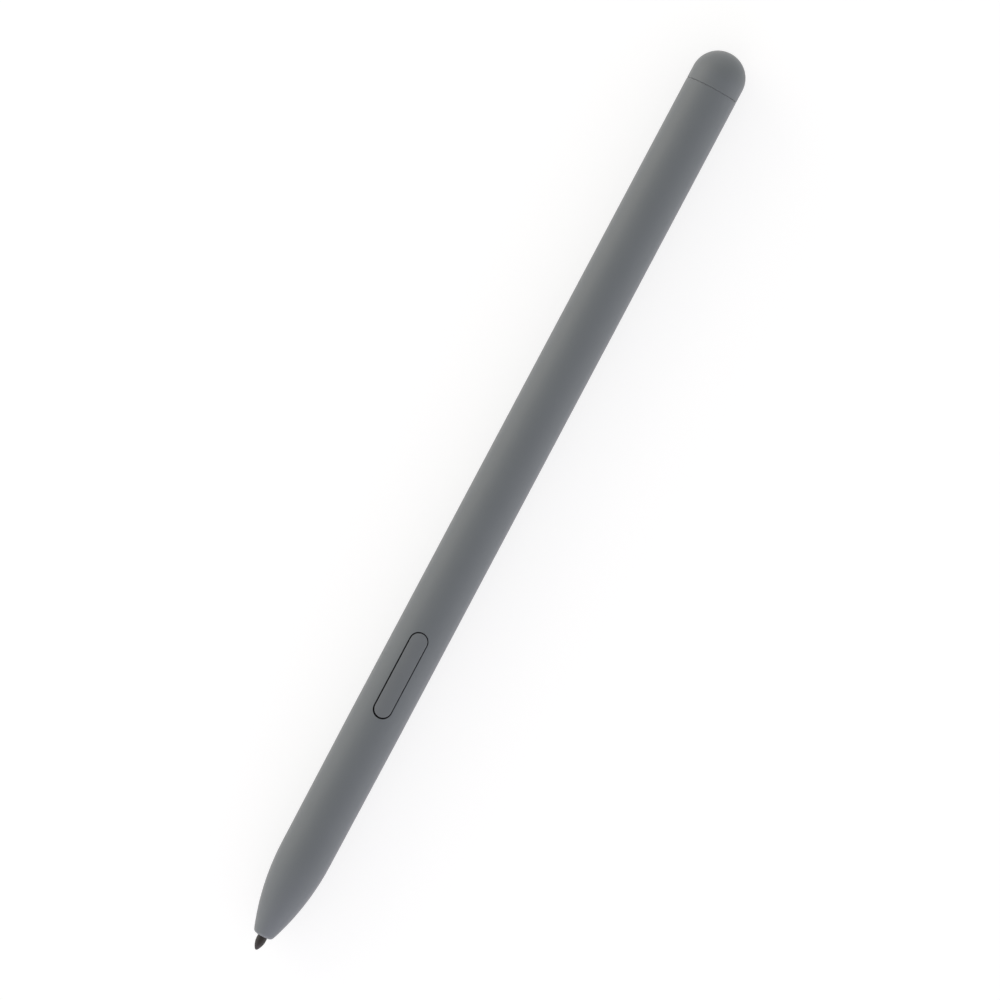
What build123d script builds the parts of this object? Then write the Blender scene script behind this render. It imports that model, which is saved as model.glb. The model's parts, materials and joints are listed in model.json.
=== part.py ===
from build123d import *
import math
import os

# Driving dimensions in millimetres. A station is a distance from the nib's tip along the pen's axis.

# Whole pen
pen_length = 144.8
barrel_diameter = 7.9
barrel_wall = 0.8  # at the shoulder, where the bore comes nearest to the skin
back_flat_depth = 0.5  # how far the resting flat cuts into the round barrel
seam_chamfer = 0.12  # edge break on both sides of the line between barrel and end cap

# Nose of the barrel
nib_exposure = 2.17  # nib tip to the front of the nose
nose_end_diameter = 2.81
nose_end_round = 0.7
nose_length = 13.13
nose_front_wall = 2.0
taper_length = 20.7
taper_drop = 0.1  # loss of radius from the straight barrel to the shoulder

# Nib
nib_tip_radius = 0.26
nib_point_length = 1.7
nib_head_diameter = 1.47
nib_shaft_diameter = 0.9
nib_shaft_chamfer = 0.15
nib_hole_clearance = 0.08
nib_head_stop_gap = 0.35  # left between the pressed-in head and the ferrite
nib_travel = 0.25

# Soft rings at both ends of the ferrite
nose_damper_thickness = 1.6
nose_damper_build = 0.33  # radial, round the nib's hole
nose_damper_fit = 0.15
shock_absorber_thickness = 0.6

# Ferrite core and its winding
ferrite_diameter = 2.9
ferrite_length = 15.3
shaft_clearance = 0.15  # round the nib's shaft, in the ferrite and the front wall
coil_build = 0.45  # radial thickness of the winding
coil_rear_gap = 2.2  # between the winding and the board carrier
coil_clearance = 0.26  # between the winding and the inside of the nose
lead_diameter = 0.2
lead_bend = 0.8
lead_angle = 35.0  # degrees above the horizontal, where the lead grooves run
lead_rise_start = 0.5  # straight length of a lead behind the winding
lead_landing_offset = 1.3  # from the pen's middle plane
lead_landing_length = 0.8

# Board carrier with the sensor chamber in its front sleeve
carrier_clearance = 0.1
ferrite_socket_depth = 1.6
ferrite_socket_fit = 0.03
carrier_front_wall = 0.8
sleeve_wall = 0.75
seat_step = 0.2
lead_groove_width = 0.4
lead_groove_depth = 0.5
carrier_rail = 0.3  # beside the lower edge of the board, where the rail is thinnest
carrier_rail_rise = 0.5  # rail height above the board
carrier_ledge = 0.5
carrier_floor = 0.5
bulkhead_thickness = 1.2
post_diameter = 0.8
post_hole_clearance = 0.05
post_head_diameter = 1.2
post_head_thickness = 0.3
post_inset = 4.0

# Nib holder and its spring
piston_clearance = 0.06
piston_thickness = 1.0
nib_grip_length = 2.3
nib_socket_fit = 0.02
nib_socket_end_gap = 0.1
boss_wall = 0.3
spring_room = 3.4
spring_wire = 0.18
spring_turns = 5
spring_clearance = 0.1
spring_end_gap = 0.01

# Pressure sensor stack
terminal_thickness = 0.2
terminal_tab_width = 0.7
terminal_tab_offset = 0.7  # from the pen's middle plane
terminal_tab_clearance = 0.1
tab_landing = 2.4
stack_clearance = 0.08
dielectric_thickness = 0.7
rubber_diameter = 1.5
rubber_thickness = 0.9
rubber_crown = 0.25
rubber_hole_clearance = 0.1
contact_gap = 0.05  # between the rubber and the disc with the nib fully pressed
plug_length = 2.5

# Side button
button_setback = 13.92  # from the sensor chamber's rear to the button's middle
button_length = 13.24
button_width = 2.5
button_side_gap = 0.16
button_end_gap = 0.22
button_proud = 0.05
button_side_lip = 0.4
button_end_lip = 0.7
button_flange_thickness = 0.4
button_flange_clearance = 0.05
button_nub_length = 1.6
button_nub_width = 1.2
button_travel = 0.25

# Push switch
switch_length = 3.6
switch_width = 3.0
switch_base_height = 0.9
switch_floor = 0.25
switch_well_diameter = 2.5
switch_cover_thickness = 0.15
dome_clearance = 0.1
dome_thickness = 0.08
dome_pressed_height = 0.12
plunger_diameter = 1.4
plunger_clearance = 0.05
plunger_flange_clearance = 0.15
plunger_play = 0.05
plunger_overtravel = 0.1

# Circuit board and its capacitors
board_thickness = 0.5
board_underside_room = 0.4  # for solder, above the carrier's floor
board_clearance = 0.05
board_end_gap = 0.2
board_tail = 22.3  # from the button's middle to the rear edge of the board
resonance_capacitor_size = (2.0, 1.25, 0.8)
tuning_capacitor_size = (1.0, 0.5, 0.5)
resonance_capacitor_count = 2
tuning_capacitor_pairs = 2
tuning_capacitor_offset = 0.9  # from the pen's middle plane
capacitor_spacing = 1.2
capacitor_setback = 4.0  # from the switch to the first capacitor

# Magnets and their carrier
magnet_length = 12.0
magnet_width = 2.4
magnet_height = 1.8
magnet_fit = 0.05
magnet_inset = 4.0  # from the carrier's rear end
magnet_gap = 8.0  # between the two magnets
carrier_bay_count = 6
carrier_bay_rib = 1.2
carrier_bay_floor = 0.4  # height of the bay floors above the axis
carrier_bay_wall = 0.6
rear_damper_thickness = 1.5

# End cap
cap_collar = 1.91  # straight stretch between the seam and the dome
cap_skirt_length = 5.0
cap_skirt_wall = 0.7
cap_skirt_clearance = 0.05
snap_bead_height = 0.12
snap_bead_width = 0.5
snap_bead_setback = 2.6  # from the seam
snap_groove_clearance = 0.05

# Derived radii and levels
barrel_radius = barrel_diameter / 2
shoulder_radius = barrel_radius - taper_drop
bore_radius = shoulder_radius - barrel_wall
flat_distance = barrel_radius - back_flat_depth
inner_flat_distance = flat_distance - barrel_wall
carrier_radius = bore_radius - carrier_clearance
carrier_flat_distance = inner_flat_distance - carrier_clearance
nib_head_radius = nib_head_diameter / 2
nib_shaft_radius = nib_shaft_diameter / 2
nib_hole_radius = nib_head_radius + nib_hole_clearance
nose_damper_radius = nib_hole_radius + nose_damper_build
nose_cavity_radius = nose_damper_radius + nose_damper_fit
ferrite_radius = ferrite_diameter / 2
coil_radius = ferrite_radius + coil_build
shaft_hole_radius = nib_shaft_radius + shaft_clearance
counterbore_radius = carrier_radius - sleeve_wall
chamber_radius = counterbore_radius - seat_step
stack_radius = counterbore_radius - stack_clearance
piston_radius = chamber_radius - piston_clearance
nib_socket_radius = nib_shaft_radius + nib_socket_fit
boss_radius = nib_socket_radius + boss_wall
rubber_radius = rubber_diameter / 2

# Derived stations along the axis, from the nose to the tail
nose_end = nib_exposure
shoulder = nose_end + nose_length
taper_end = shoulder + taper_length
nose_cavity = nose_end + nose_front_wall
ferrite_front = nose_cavity + nose_damper_thickness
ferrite_rear = ferrite_front + ferrite_length
nib_head_end = ferrite_front - nib_travel - nib_head_stop_gap
carrier_front = ferrite_rear - ferrite_socket_depth
coil_rear = carrier_front - coil_rear_gap
absorber_rear = ferrite_rear + shock_absorber_thickness
chamber_front = absorber_rear + carrier_front_wall
piston_rear = chamber_front + piston_thickness
nib_shaft_end = chamber_front + nib_grip_length
ring_front = piston_rear + spring_room
disc_front = ring_front + terminal_thickness
disc_rear = disc_front + dielectric_thickness
plug_front = disc_rear + terminal_thickness
chamber_rear = plug_front + plug_length
rubber_tip = disc_front - nib_travel - contact_gap
rubber_front = rubber_tip - rubber_thickness
button_station = chamber_rear + button_setback
board_rear = button_station + board_tail
bulkhead_front = board_rear + board_end_gap
carrier_rear = bulkhead_front + bulkhead_thickness
seam = pen_length - barrel_radius - cap_collar
skirt_front = seam - cap_skirt_length
damper_front = skirt_front - rear_damper_thickness

# Inside of the nose: an arc that leaves the bore at the shoulder and narrows towards the nib. The winding
# starts where that arc leaves room for it.
nose_run = shoulder - nose_cavity
nose_drop = bore_radius - nose_cavity_radius
nose_bore_arc = (nose_run**2 + nose_drop**2) / (2 * nose_drop)
coil_drop = bore_radius - coil_radius - coil_clearance
coil_front = shoulder - math.sqrt(2 * nose_bore_arc * coil_drop - coil_drop**2)

# Derived sizes of the button and the heights of what lies below it
slot_length = button_length + 2 * button_end_gap
slot_width = button_width + 2 * button_side_gap
flange_length = slot_length + 2 * button_end_lip
flange_width = slot_width + 2 * button_side_lip
flange_radius = bore_radius - button_flange_clearance
flange_bottom = math.sqrt(flange_radius**2 - (flange_width / 2) ** 2) - button_flange_thickness
floor_top = carrier_floor - carrier_flat_distance
board_bottom = floor_top + board_underside_room
board_top = board_bottom + board_thickness
board_half_width = math.sqrt(carrier_radius**2 - board_bottom**2) - carrier_rail - board_clearance
well_bottom = board_top + switch_floor
cover_bottom = board_top + switch_base_height
cover_top = cover_bottom + switch_cover_thickness
dome_height = button_travel + dome_pressed_height
plunger_bottom = well_bottom + dome_height
plunger_top = cover_top + button_travel + plunger_overtravel


def across(station):
    # Plane square to the axis: its x is the pen's side direction, its y is up
    return Plane(origin=(station, 0, 0), x_dir=(0, 1, 0), z_dir=(1, 0, 0))


def disc(front, rear, radius):
    return extrude(across(front) * Circle(radius), rear - front)


def tube(front, rear, outer, inner):
    return disc(front, rear, outer) - disc(front, rear, inner)


def block(along, sideways, upward):
    spans = (along, sideways, upward)
    middle = [(low + high) / 2 for low, high in spans]
    return Pos(*middle) * Box(*[high - low for low, high in spans])


def below(level):
    return block((-pen_length, 2 * pen_length), (-barrel_diameter, barrel_diameter), (-pen_length, level))


def stick(front, rear, radius, flat):
    # Round bar along the axis with a flat on its underside
    return disc(front, rear, radius) - below(-flat)


def turned(*edges):
    return revolve(make_face(edges), Axis.X)


def pill(length, width, low, high):
    return Pos(button_station, 0, low) * extrude(SlotOverall(length, width), high - low)


def post(station, radius, low, high):
    return Pos(station, 0, low) * extrude(Circle(radius), high - low)


def skin(growth):
    # Outside of nose and barrel as a turned solid, with every radius grown alike
    tip = (nose_end, 0, nose_end_diameter / 2 + growth)
    shoulder_rim = (shoulder, 0, shoulder_radius + growth)
    straight_front = (taper_end, 0, barrel_radius + growth)
    straight_rear = (seam - seam_chamfer, 0, barrel_radius + growth)
    seam_rim = (seam, 0, barrel_radius + growth - seam_chamfer)
    taper = Line(straight_front, shoulder_rim)
    return turned(
        Line((nose_end, 0, 0), tip),
        TangentArc(shoulder_rim, tip, tangent=taper % 1),
        taper,
        Line(straight_front, straight_rear),
        Line(straight_rear, seam_rim),
        Line(seam_rim, (seam, 0, 0)),
        Line((seam, 0, 0), (nose_end, 0, 0)),
    )


def snap_ring(growth):
    # Half-hexagon ring on the end cap's skirt, and the groove that it snaps into
    middle = seam - snap_bead_setback
    root = bore_radius - cap_skirt_clearance - cap_skirt_wall / 2
    foot = bore_radius - cap_skirt_clearance
    crest = foot + snap_bead_height + growth
    half_foot = snap_bead_width / 2 + growth
    half_crest = half_foot - snap_bead_height
    corners = [
        (middle - half_foot, 0, root),
        (middle - half_foot, 0, foot),
        (middle - half_crest, 0, crest),
        (middle + half_crest, 0, crest),
        (middle + half_foot, 0, foot),
        (middle + half_foot, 0, root),
    ]
    return turned(*Polyline(*corners, close=True).edges())


def make_barrel():
    outside = skin(0)
    nose_rim = outside.edges().filter_by(GeomType.CIRCLE).sort_by(Axis.X)[0]
    shell = fillet(nose_rim, nose_end_round) - below(-flat_distance)
    cavity_rim = (nose_cavity, 0, nose_cavity_radius)
    bore_front = (shoulder, 0, bore_radius)
    cavity = turned(
        Line((nose_cavity, 0, 0), cavity_rim),
        TangentArc(bore_front, cavity_rim, tangent=(-1, 0, 0)),
        Line(bore_front, (seam, 0, bore_radius)),
        Line((seam, 0, bore_radius), (seam, 0, 0)),
        Line((seam, 0, 0), (nose_cavity, 0, 0)),
    )
    shell -= (cavity + snap_ring(snap_groove_clearance)) - below(-inner_flat_distance)
    shell -= disc(nose_end, nose_cavity, nib_hole_radius)
    return shell - pill(slot_length, slot_width, 0, barrel_diameter)


def make_end_cap():
    collar_rear = (seam + cap_collar, 0, barrel_radius)
    apex = (pen_length, 0, 0)
    seam_rim = (seam, 0, barrel_radius - seam_chamfer)
    collar_front = (seam + seam_chamfer, 0, barrel_radius)
    dome = turned(
        Line((seam, 0, 0), seam_rim),
        Line(seam_rim, collar_front),
        Line(collar_front, collar_rear),
        TangentArc(collar_rear, apex, tangent=(1, 0, 0)),
        Line(apex, (seam, 0, 0)),
    )
    skirt_radius = bore_radius - cap_skirt_clearance
    skirt = disc(skirt_front, seam, skirt_radius) + snap_ring(0)
    skirt -= below(-(inner_flat_distance - cap_skirt_clearance))
    hollow_radius = skirt_radius - cap_skirt_wall
    hollow_flat = inner_flat_distance - cap_skirt_clearance - cap_skirt_wall
    hollow = stick(skirt_front, seam + cap_collar, hollow_radius, hollow_flat)
    return (dome - below(-flat_distance)) + skirt - hollow


def make_nib():
    # Round tip, ogive point tangent to both the tip and the head, head and thin shaft
    rise = nib_head_radius - nib_tip_radius
    run = nib_point_length - nib_tip_radius
    ogive = (run**2 + nib_head_radius**2 - nib_tip_radius**2) / (2 * rise)
    tip_centre = Vector(nib_tip_radius, 0, 0)
    ogive_centre = Vector(nib_point_length, 0, nib_head_radius - ogive)
    tip_rim = tip_centre + (tip_centre - ogive_centre).normalized() * nib_tip_radius
    head_front = (nib_point_length, 0, nib_head_radius)
    head_rear = (nib_head_end, 0, nib_head_radius)
    shaft_front = (nib_head_end, 0, nib_shaft_radius)
    shaft_rear = (nib_shaft_end - nib_shaft_chamfer, 0, nib_shaft_radius)
    shaft_rim = (nib_shaft_end, 0, nib_shaft_radius - nib_shaft_chamfer)
    shaft_middle = (nib_shaft_end, 0, 0)
    return turned(
        TangentArc((0, 0, 0), tip_rim, tangent=(0, 0, 1)),
        TangentArc(head_front, tip_rim, tangent=(-1, 0, 0)),
        Line(head_front, head_rear),
        Line(head_rear, shaft_front),
        Line(shaft_front, shaft_rear),
        Line(shaft_rear, shaft_rim),
        Line(shaft_rim, shaft_middle),
        Line(shaft_middle, (0, 0, 0)),
    )


def make_side_button():
    reach = barrel_diameter
    key = pill(button_length, button_width, flange_bottom, reach) & skin(button_proud)
    flange = pill(flange_length, flange_width, flange_bottom, reach) & disc(0, seam, flange_radius)
    nub = block(
        (button_station - button_nub_length / 2, button_station + button_nub_length / 2),
        (-button_nub_width / 2, button_nub_width / 2),
        (plunger_top, flange_bottom),
    )
    return key + flange + nub


def switch_slab(low, high):
    return block(
        (button_station - switch_length / 2, button_station + switch_length / 2),
        (-switch_width / 2, switch_width / 2),
        (low, high),
    )


def make_switch_base():
    well = post(button_station, switch_well_diameter / 2, well_bottom, cover_bottom)
    return switch_slab(board_top, cover_bottom) - well


def make_switch_dome():
    # Thin spherical snap dome with its rim on the floor of the well
    rim = switch_well_diameter / 2 - dome_clearance
    outer = (rim**2 + dome_height**2) / (2 * dome_height)
    centre = Pos(button_station, 0, well_bottom + dome_height - outer)
    shell = centre * (Sphere(outer) - Sphere(outer - dome_thickness))
    return shell & post(button_station, switch_well_diameter / 2, well_bottom, plunger_bottom)


def make_switch_plunger():
    flange_rim = switch_well_diameter / 2 - plunger_flange_clearance
    flange = post(button_station, flange_rim, plunger_bottom, cover_bottom - plunger_play)
    return flange + post(button_station, plunger_diameter / 2, plunger_bottom, plunger_top)


def make_switch_cover():
    hole = post(button_station, plunger_diameter / 2 + plunger_clearance, cover_bottom, cover_top)
    return switch_slab(cover_bottom, cover_top) - hole


def post_stations():
    return (chamber_rear + post_inset, board_rear - post_inset)


def make_circuit_board():
    board = block(
        (chamber_rear, board_rear),
        (-board_half_width, board_half_width),
        (board_bottom, board_top),
    )
    for station in post_stations():
        board -= post(station, post_diameter / 2 + post_hole_clearance, board_bottom, board_top)
    return board


def lead_point(side, station, radius):
    angle = math.radians(lead_angle)
    return (station, side * radius * math.cos(angle), radius * math.sin(angle))


def lead_groove_radius():
    return carrier_radius - lead_groove_depth / 2


def make_coil_lead(side):
    # From the winding's rear face through the carrier's groove and down to its pad on the board
    winding_radius = (ferrite_radius + coil_radius) / 2
    pad_height = board_top + lead_diameter / 2
    pad_side = side * lead_landing_offset
    groove_mouth = carrier_front - lead_groove_width
    pad_front = chamber_rear + tab_landing - lead_diameter
    path = FilletPolyline(
        lead_point(side, coil_rear, winding_radius),
        lead_point(side, coil_rear + lead_rise_start, winding_radius),
        lead_point(side, groove_mouth, lead_groove_radius()),
        lead_point(side, chamber_rear + lead_groove_width, lead_groove_radius()),
        (pad_front, pad_side, pad_height),
        (pad_front + lead_landing_length, pad_side, pad_height),
        radius=lead_bend,
    )
    section = Plane(origin=path @ 0, z_dir=path % 0) * Circle(lead_diameter / 2)
    return sweep(section, path=path)


def make_board_carrier():
    sleeve = disc(carrier_front, chamber_rear, carrier_radius)
    sleeve -= disc(carrier_front, absorber_rear, ferrite_radius + ferrite_socket_fit)
    sleeve -= disc(absorber_rear, chamber_front, shaft_hole_radius)
    sleeve -= disc(chamber_front, ring_front, chamber_radius)
    sleeve -= disc(ring_front, chamber_rear, counterbore_radius)
    groove = block(
        (carrier_front, chamber_rear),
        (carrier_radius - lead_groove_depth, carrier_radius + lead_groove_depth),
        (-lead_groove_width / 2, lead_groove_width / 2),
    )
    sleeve -= Rot(lead_angle, 0, 0) * groove
    sleeve -= Rot(180 - lead_angle, 0, 0) * groove
    tray = disc(chamber_rear, carrier_rear, carrier_radius)
    pocket_half = board_half_width + board_clearance
    tray -= block(
        (chamber_rear, bulkhead_front),
        (-pocket_half, pocket_half),
        (board_bottom, barrel_diameter),
    )
    rail_top = board_top + carrier_rail_rise
    tray -= block(
        (chamber_rear, bulkhead_front),
        (-barrel_diameter, barrel_diameter),
        (rail_top, barrel_diameter),
    )
    ledge_half = board_half_width - carrier_ledge
    tray -= block((chamber_rear, bulkhead_front), (-ledge_half, ledge_half), (floor_top, board_bottom))
    for station in post_stations():
        tray += post(station, post_diameter / 2, floor_top, board_top)
        tray += post(station, post_head_diameter / 2, board_top, board_top + post_head_thickness)
    return sleeve + tray - below(-carrier_flat_distance)


def make_nib_holder():
    holder = disc(chamber_front, piston_rear, piston_radius) + disc(piston_rear, rubber_front, boss_radius)
    return holder - disc(chamber_front, nib_shaft_end + nib_socket_end_gap, nib_socket_radius)


def make_conductive_rubber():
    rim = (rubber_tip - rubber_crown, 0, rubber_radius)
    tip = (rubber_tip, 0, 0)
    return turned(
        Line((rubber_front, 0, 0), (rubber_front, 0, rubber_radius)),
        Line((rubber_front, 0, rubber_radius), rim),
        TangentArc(tip, rim, tangent=(0, 0, 1)),
        Line(tip, (rubber_front, 0, 0)),
    )


def make_return_spring():
    margin = spring_wire / 2 + spring_end_gap
    height = spring_room - 2 * margin
    radius = boss_radius + spring_clearance + spring_wire / 2
    start = (piston_rear + margin, 0, 0)
    path = Helix(height / spring_turns, height, radius, center=start, direction=(1, 0, 0))
    section = Plane(origin=path @ 0, z_dir=path % 0) * Circle(spring_wire / 2)
    return sweep(section, path=path, is_frenet=True)


def terminal_tab(front, side):
    # Strip from a terminal to its pad on the board
    middle = side * terminal_tab_offset
    return block(
        (front, chamber_rear + tab_landing),
        (middle - terminal_tab_width / 2, middle + terminal_tab_width / 2),
        (board_top, board_top + terminal_thickness),
    )


def tab_notch(side):
    # Way for a terminal's tab past the pieces behind it
    middle = side * terminal_tab_offset
    half_width = terminal_tab_width / 2 + terminal_tab_clearance
    return block(
        (disc_front, chamber_rear),
        (middle - half_width, middle + half_width),
        (-counterbore_radius, board_top + terminal_thickness + terminal_tab_clearance),
    )


def make_ring_terminal():
    washer = tube(ring_front, disc_front, stack_radius, rubber_radius + rubber_hole_clearance)
    return washer + terminal_tab(ring_front, 1)


def make_dielectric_disc():
    return disc(disc_front, disc_rear, stack_radius) - tab_notch(1)


def make_disc_terminal():
    return disc(disc_rear, plug_front, stack_radius) - tab_notch(1) + terminal_tab(disc_rear, -1)


def make_sensor_plug():
    return disc(plug_front, chamber_rear, stack_radius) - tab_notch(1) - tab_notch(-1)


def make_capacitor(size, station, offset):
    length, width, height = size
    return block(
        (station, station + length),
        (offset - width / 2, offset + width / 2),
        (board_top, board_top + height),
    )


def make_capacitors():
    # Large ones in a row behind the switch, then pairs of small ones
    capacitors = {}
    station = button_station + switch_length / 2 + capacitor_setback
    for number in range(1, resonance_capacitor_count + 1):
        capacitors[f"resonance_capacitor_{number}"] = make_capacitor(resonance_capacitor_size, station, 0)
        station += resonance_capacitor_size[0] + capacitor_spacing
    for pair in range(tuning_capacitor_pairs):
        for place, offset in enumerate((-tuning_capacitor_offset, tuning_capacitor_offset)):
            name = f"tuning_capacitor_{2 * pair + place + 1}"
            capacitors[name] = make_capacitor(tuning_capacitor_size, station, offset)
        station += tuning_capacitor_size[0] + capacitor_spacing
    return capacitors


def magnet_bar(front, growth):
    bottom = -carrier_flat_distance
    return block(
        (front - growth, front + magnet_length + growth),
        (-magnet_width / 2 - growth, magnet_width / 2 + growth),
        (bottom, bottom + magnet_height + growth),
    )


def magnet_fronts():
    rear_magnet = damper_front - magnet_inset - magnet_length
    return (rear_magnet - magnet_gap - magnet_length, rear_magnet)


def make_magnet_carrier():
    body = stick(carrier_rear, damper_front, carrier_radius, carrier_flat_distance)
    for front in magnet_fronts():
        body -= magnet_bar(front, magnet_fit)
    bay_pitch = (damper_front - carrier_rear - carrier_bay_rib) / carrier_bay_count
    half_width = carrier_radius - carrier_bay_wall
    for bay in range(carrier_bay_count):
        front = carrier_rear + carrier_bay_rib + bay * bay_pitch
        rear = front + bay_pitch - carrier_bay_rib
        body -= block((front, rear), (-half_width, half_width), (carrier_bay_floor, barrel_diameter))
    return body


# Pieces by name, each a solid of its own
pieces = {
    "barrel": make_barrel(),
    "end_cap": make_end_cap(),
    "side_button": make_side_button(),
    "nib": make_nib(),
    "nose_damper": tube(nose_cavity, ferrite_front, nose_damper_radius, nib_hole_radius),
    "ferrite_core": tube(ferrite_front, ferrite_rear, ferrite_radius, shaft_hole_radius),
    "coil_winding": tube(coil_front, coil_rear, coil_radius, ferrite_radius),
    "coil_lead_left": make_coil_lead(1),
    "coil_lead_right": make_coil_lead(-1),
    "shock_absorber": tube(ferrite_rear, absorber_rear, ferrite_radius, shaft_hole_radius),
    "board_carrier": make_board_carrier(),
    "nib_holder": make_nib_holder(),
    "conductive_rubber": make_conductive_rubber(),
    "return_spring": make_return_spring(),
    "ring_terminal": make_ring_terminal(),
    "dielectric_disc": make_dielectric_disc(),
    "disc_terminal": make_disc_terminal(),
    "sensor_plug": make_sensor_plug(),
    "circuit_board": make_circuit_board(),
    "switch_base": make_switch_base(),
    "switch_dome": make_switch_dome(),
    "switch_plunger": make_switch_plunger(),
    "switch_cover": make_switch_cover(),
    "magnet_carrier": make_magnet_carrier(),
    "magnet_front": magnet_bar(magnet_fronts()[0], 0),
    "magnet_rear": magnet_bar(magnet_fronts()[1], 0),
    "rear_damper": stick(damper_front, skirt_front, carrier_radius, carrier_flat_distance),
}
pieces.update(make_capacitors())

# The pen rests on its flat, with the origin under the middle of its length
resting_place = Pos(-pen_length / 2, 0, flat_distance)
os.makedirs("parts", exist_ok=True)
for name, piece in pieces.items():
    export_step(resting_place * piece, f"parts/{name}.step")
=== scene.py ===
import bmesh
import bpy
import json
import math
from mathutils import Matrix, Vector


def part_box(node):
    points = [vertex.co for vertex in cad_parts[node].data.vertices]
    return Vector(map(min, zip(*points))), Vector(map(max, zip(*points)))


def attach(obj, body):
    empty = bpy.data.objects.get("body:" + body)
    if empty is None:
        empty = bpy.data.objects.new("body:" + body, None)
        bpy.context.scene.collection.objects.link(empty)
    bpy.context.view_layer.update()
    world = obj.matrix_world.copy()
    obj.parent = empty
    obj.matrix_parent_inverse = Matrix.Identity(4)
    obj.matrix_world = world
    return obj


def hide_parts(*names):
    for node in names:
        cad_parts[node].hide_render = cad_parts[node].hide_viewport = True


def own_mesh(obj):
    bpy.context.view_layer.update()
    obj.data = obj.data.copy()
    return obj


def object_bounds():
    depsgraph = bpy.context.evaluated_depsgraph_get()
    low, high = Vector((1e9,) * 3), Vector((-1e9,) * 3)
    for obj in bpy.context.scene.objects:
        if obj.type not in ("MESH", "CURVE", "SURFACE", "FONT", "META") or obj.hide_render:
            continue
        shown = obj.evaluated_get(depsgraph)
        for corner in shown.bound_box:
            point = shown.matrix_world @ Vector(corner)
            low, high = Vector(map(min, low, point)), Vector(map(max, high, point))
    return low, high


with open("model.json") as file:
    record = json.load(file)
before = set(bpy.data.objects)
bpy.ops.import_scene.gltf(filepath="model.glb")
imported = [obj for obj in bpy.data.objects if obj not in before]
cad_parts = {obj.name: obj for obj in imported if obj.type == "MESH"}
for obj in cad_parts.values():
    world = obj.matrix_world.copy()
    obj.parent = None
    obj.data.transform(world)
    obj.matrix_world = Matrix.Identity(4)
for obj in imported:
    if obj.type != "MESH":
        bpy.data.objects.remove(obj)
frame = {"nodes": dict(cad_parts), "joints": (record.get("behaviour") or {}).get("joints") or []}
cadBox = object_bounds()
nodes = frame["nodes"]
scene = bpy.context.scene
scene.view_settings.view_transform = "Standard"
mm = 0.001
travel = {joint["name"]: joint["range_m"][1] / mm for joint in frame["joints"]}

# Millimetres throughout: stations count from the nib's tip, heights from the pen's axis
shellLow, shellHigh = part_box("barrel")
pen = {
    "length": round((cadBox[1][0] - cadBox[0][0]) / mm, 3),
    "radius": round((shellHigh.y - shellLow.y) / 2 / mm, 3),
    "flatBlend": 0.24,  # soft edge along the resting flat
    "segments": 192,
    "noFlat": 50.0,  # flat level of a piece that is round all over
    "shadeDepth": 0.15,  # depth below the outer skin past which faces get the painted gap shade
}
pen["flat"] = round(shellHigh.z / mm - pen["radius"], 3)  # axis to the resting flat


def along(station):
    return (station - pen["length"] / 2) * mm


def above(height):
    return (height + pen["flat"]) * mm


def span(node):
    low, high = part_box(node)
    place = {
        "front": low.x / mm + pen["length"] / 2,
        "rear": high.x / mm + pen["length"] / 2,
        "half": (high.y - low.y) / 2 / mm,
        "bottom": low.z / mm - pen["flat"],
        "top": high.z / mm - pen["flat"],
    }
    return {key: round(value, 3) for key, value in place.items()}


def linear(hexColour):
    parts = [int(hexColour[i : i + 2], 16) / 255 for i in (1, 3, 5)]
    return [p / 12.92 if p <= 0.04045 else ((p + 0.055) / 1.055) ** 2.4 for p in parts] + [1.0]


def addNode(tree, kind, settings=None, inputs=None):
    node = tree.nodes.new(kind)
    for name, value in (settings or {}).items():
        setattr(node, name, value)
    for socket, value in (inputs or {}).items():
        source = value.outputs[0] if isinstance(value, bpy.types.Node) else value
        if isinstance(source, bpy.types.NodeSocket):
            tree.links.new(source, node.inputs[socket])
        else:
            node.inputs[socket].default_value = source
    return node


# Camera straight above the pen, turned so that the nib points to the lower left
cameraView = {
    "height": 790.0,  # lens above the pen's axis
    "station": 73.06,
    "side": -0.771,
    "turn": -62.03,  # degrees
    "width": 142.8,  # across the picture at the pen's axis
    "sensor": 36.0,
    "nearest": 10.0,  # nothing closer to the lens is drawn
}
lens = bpy.data.cameras.new("photoCamera")
lens.sensor_width = cameraView["sensor"]
lens.lens = lens.sensor_width * cameraView["height"] / cameraView["width"]
lens.clip_start = cameraView["nearest"] * mm
photoCamera = bpy.data.objects.new("photoCamera", lens)
scene.collection.objects.link(photoCamera)
photoCamera.location = (
    along(cameraView["station"]),
    cameraView["side"] * mm,
    above(cameraView["height"]),
)
photoCamera.rotation_euler = (0, 0, math.radians(cameraView["turn"]))
scene.camera = photoCamera
print("camera: lens", round(lens.lens, 1), "mm")

# Materials: a broad mottle for the colour, a fine grain for gloss and bump
noise = {
    "mottleDetail": 3.0,
    "grainDetail": 2.0,
    "grainRange": (0.3, 0.7),  # most of the grain's values lie between these
    "waveRepeat": math.pi / 10,  # of the wave texture at a scale of 1
}


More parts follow.
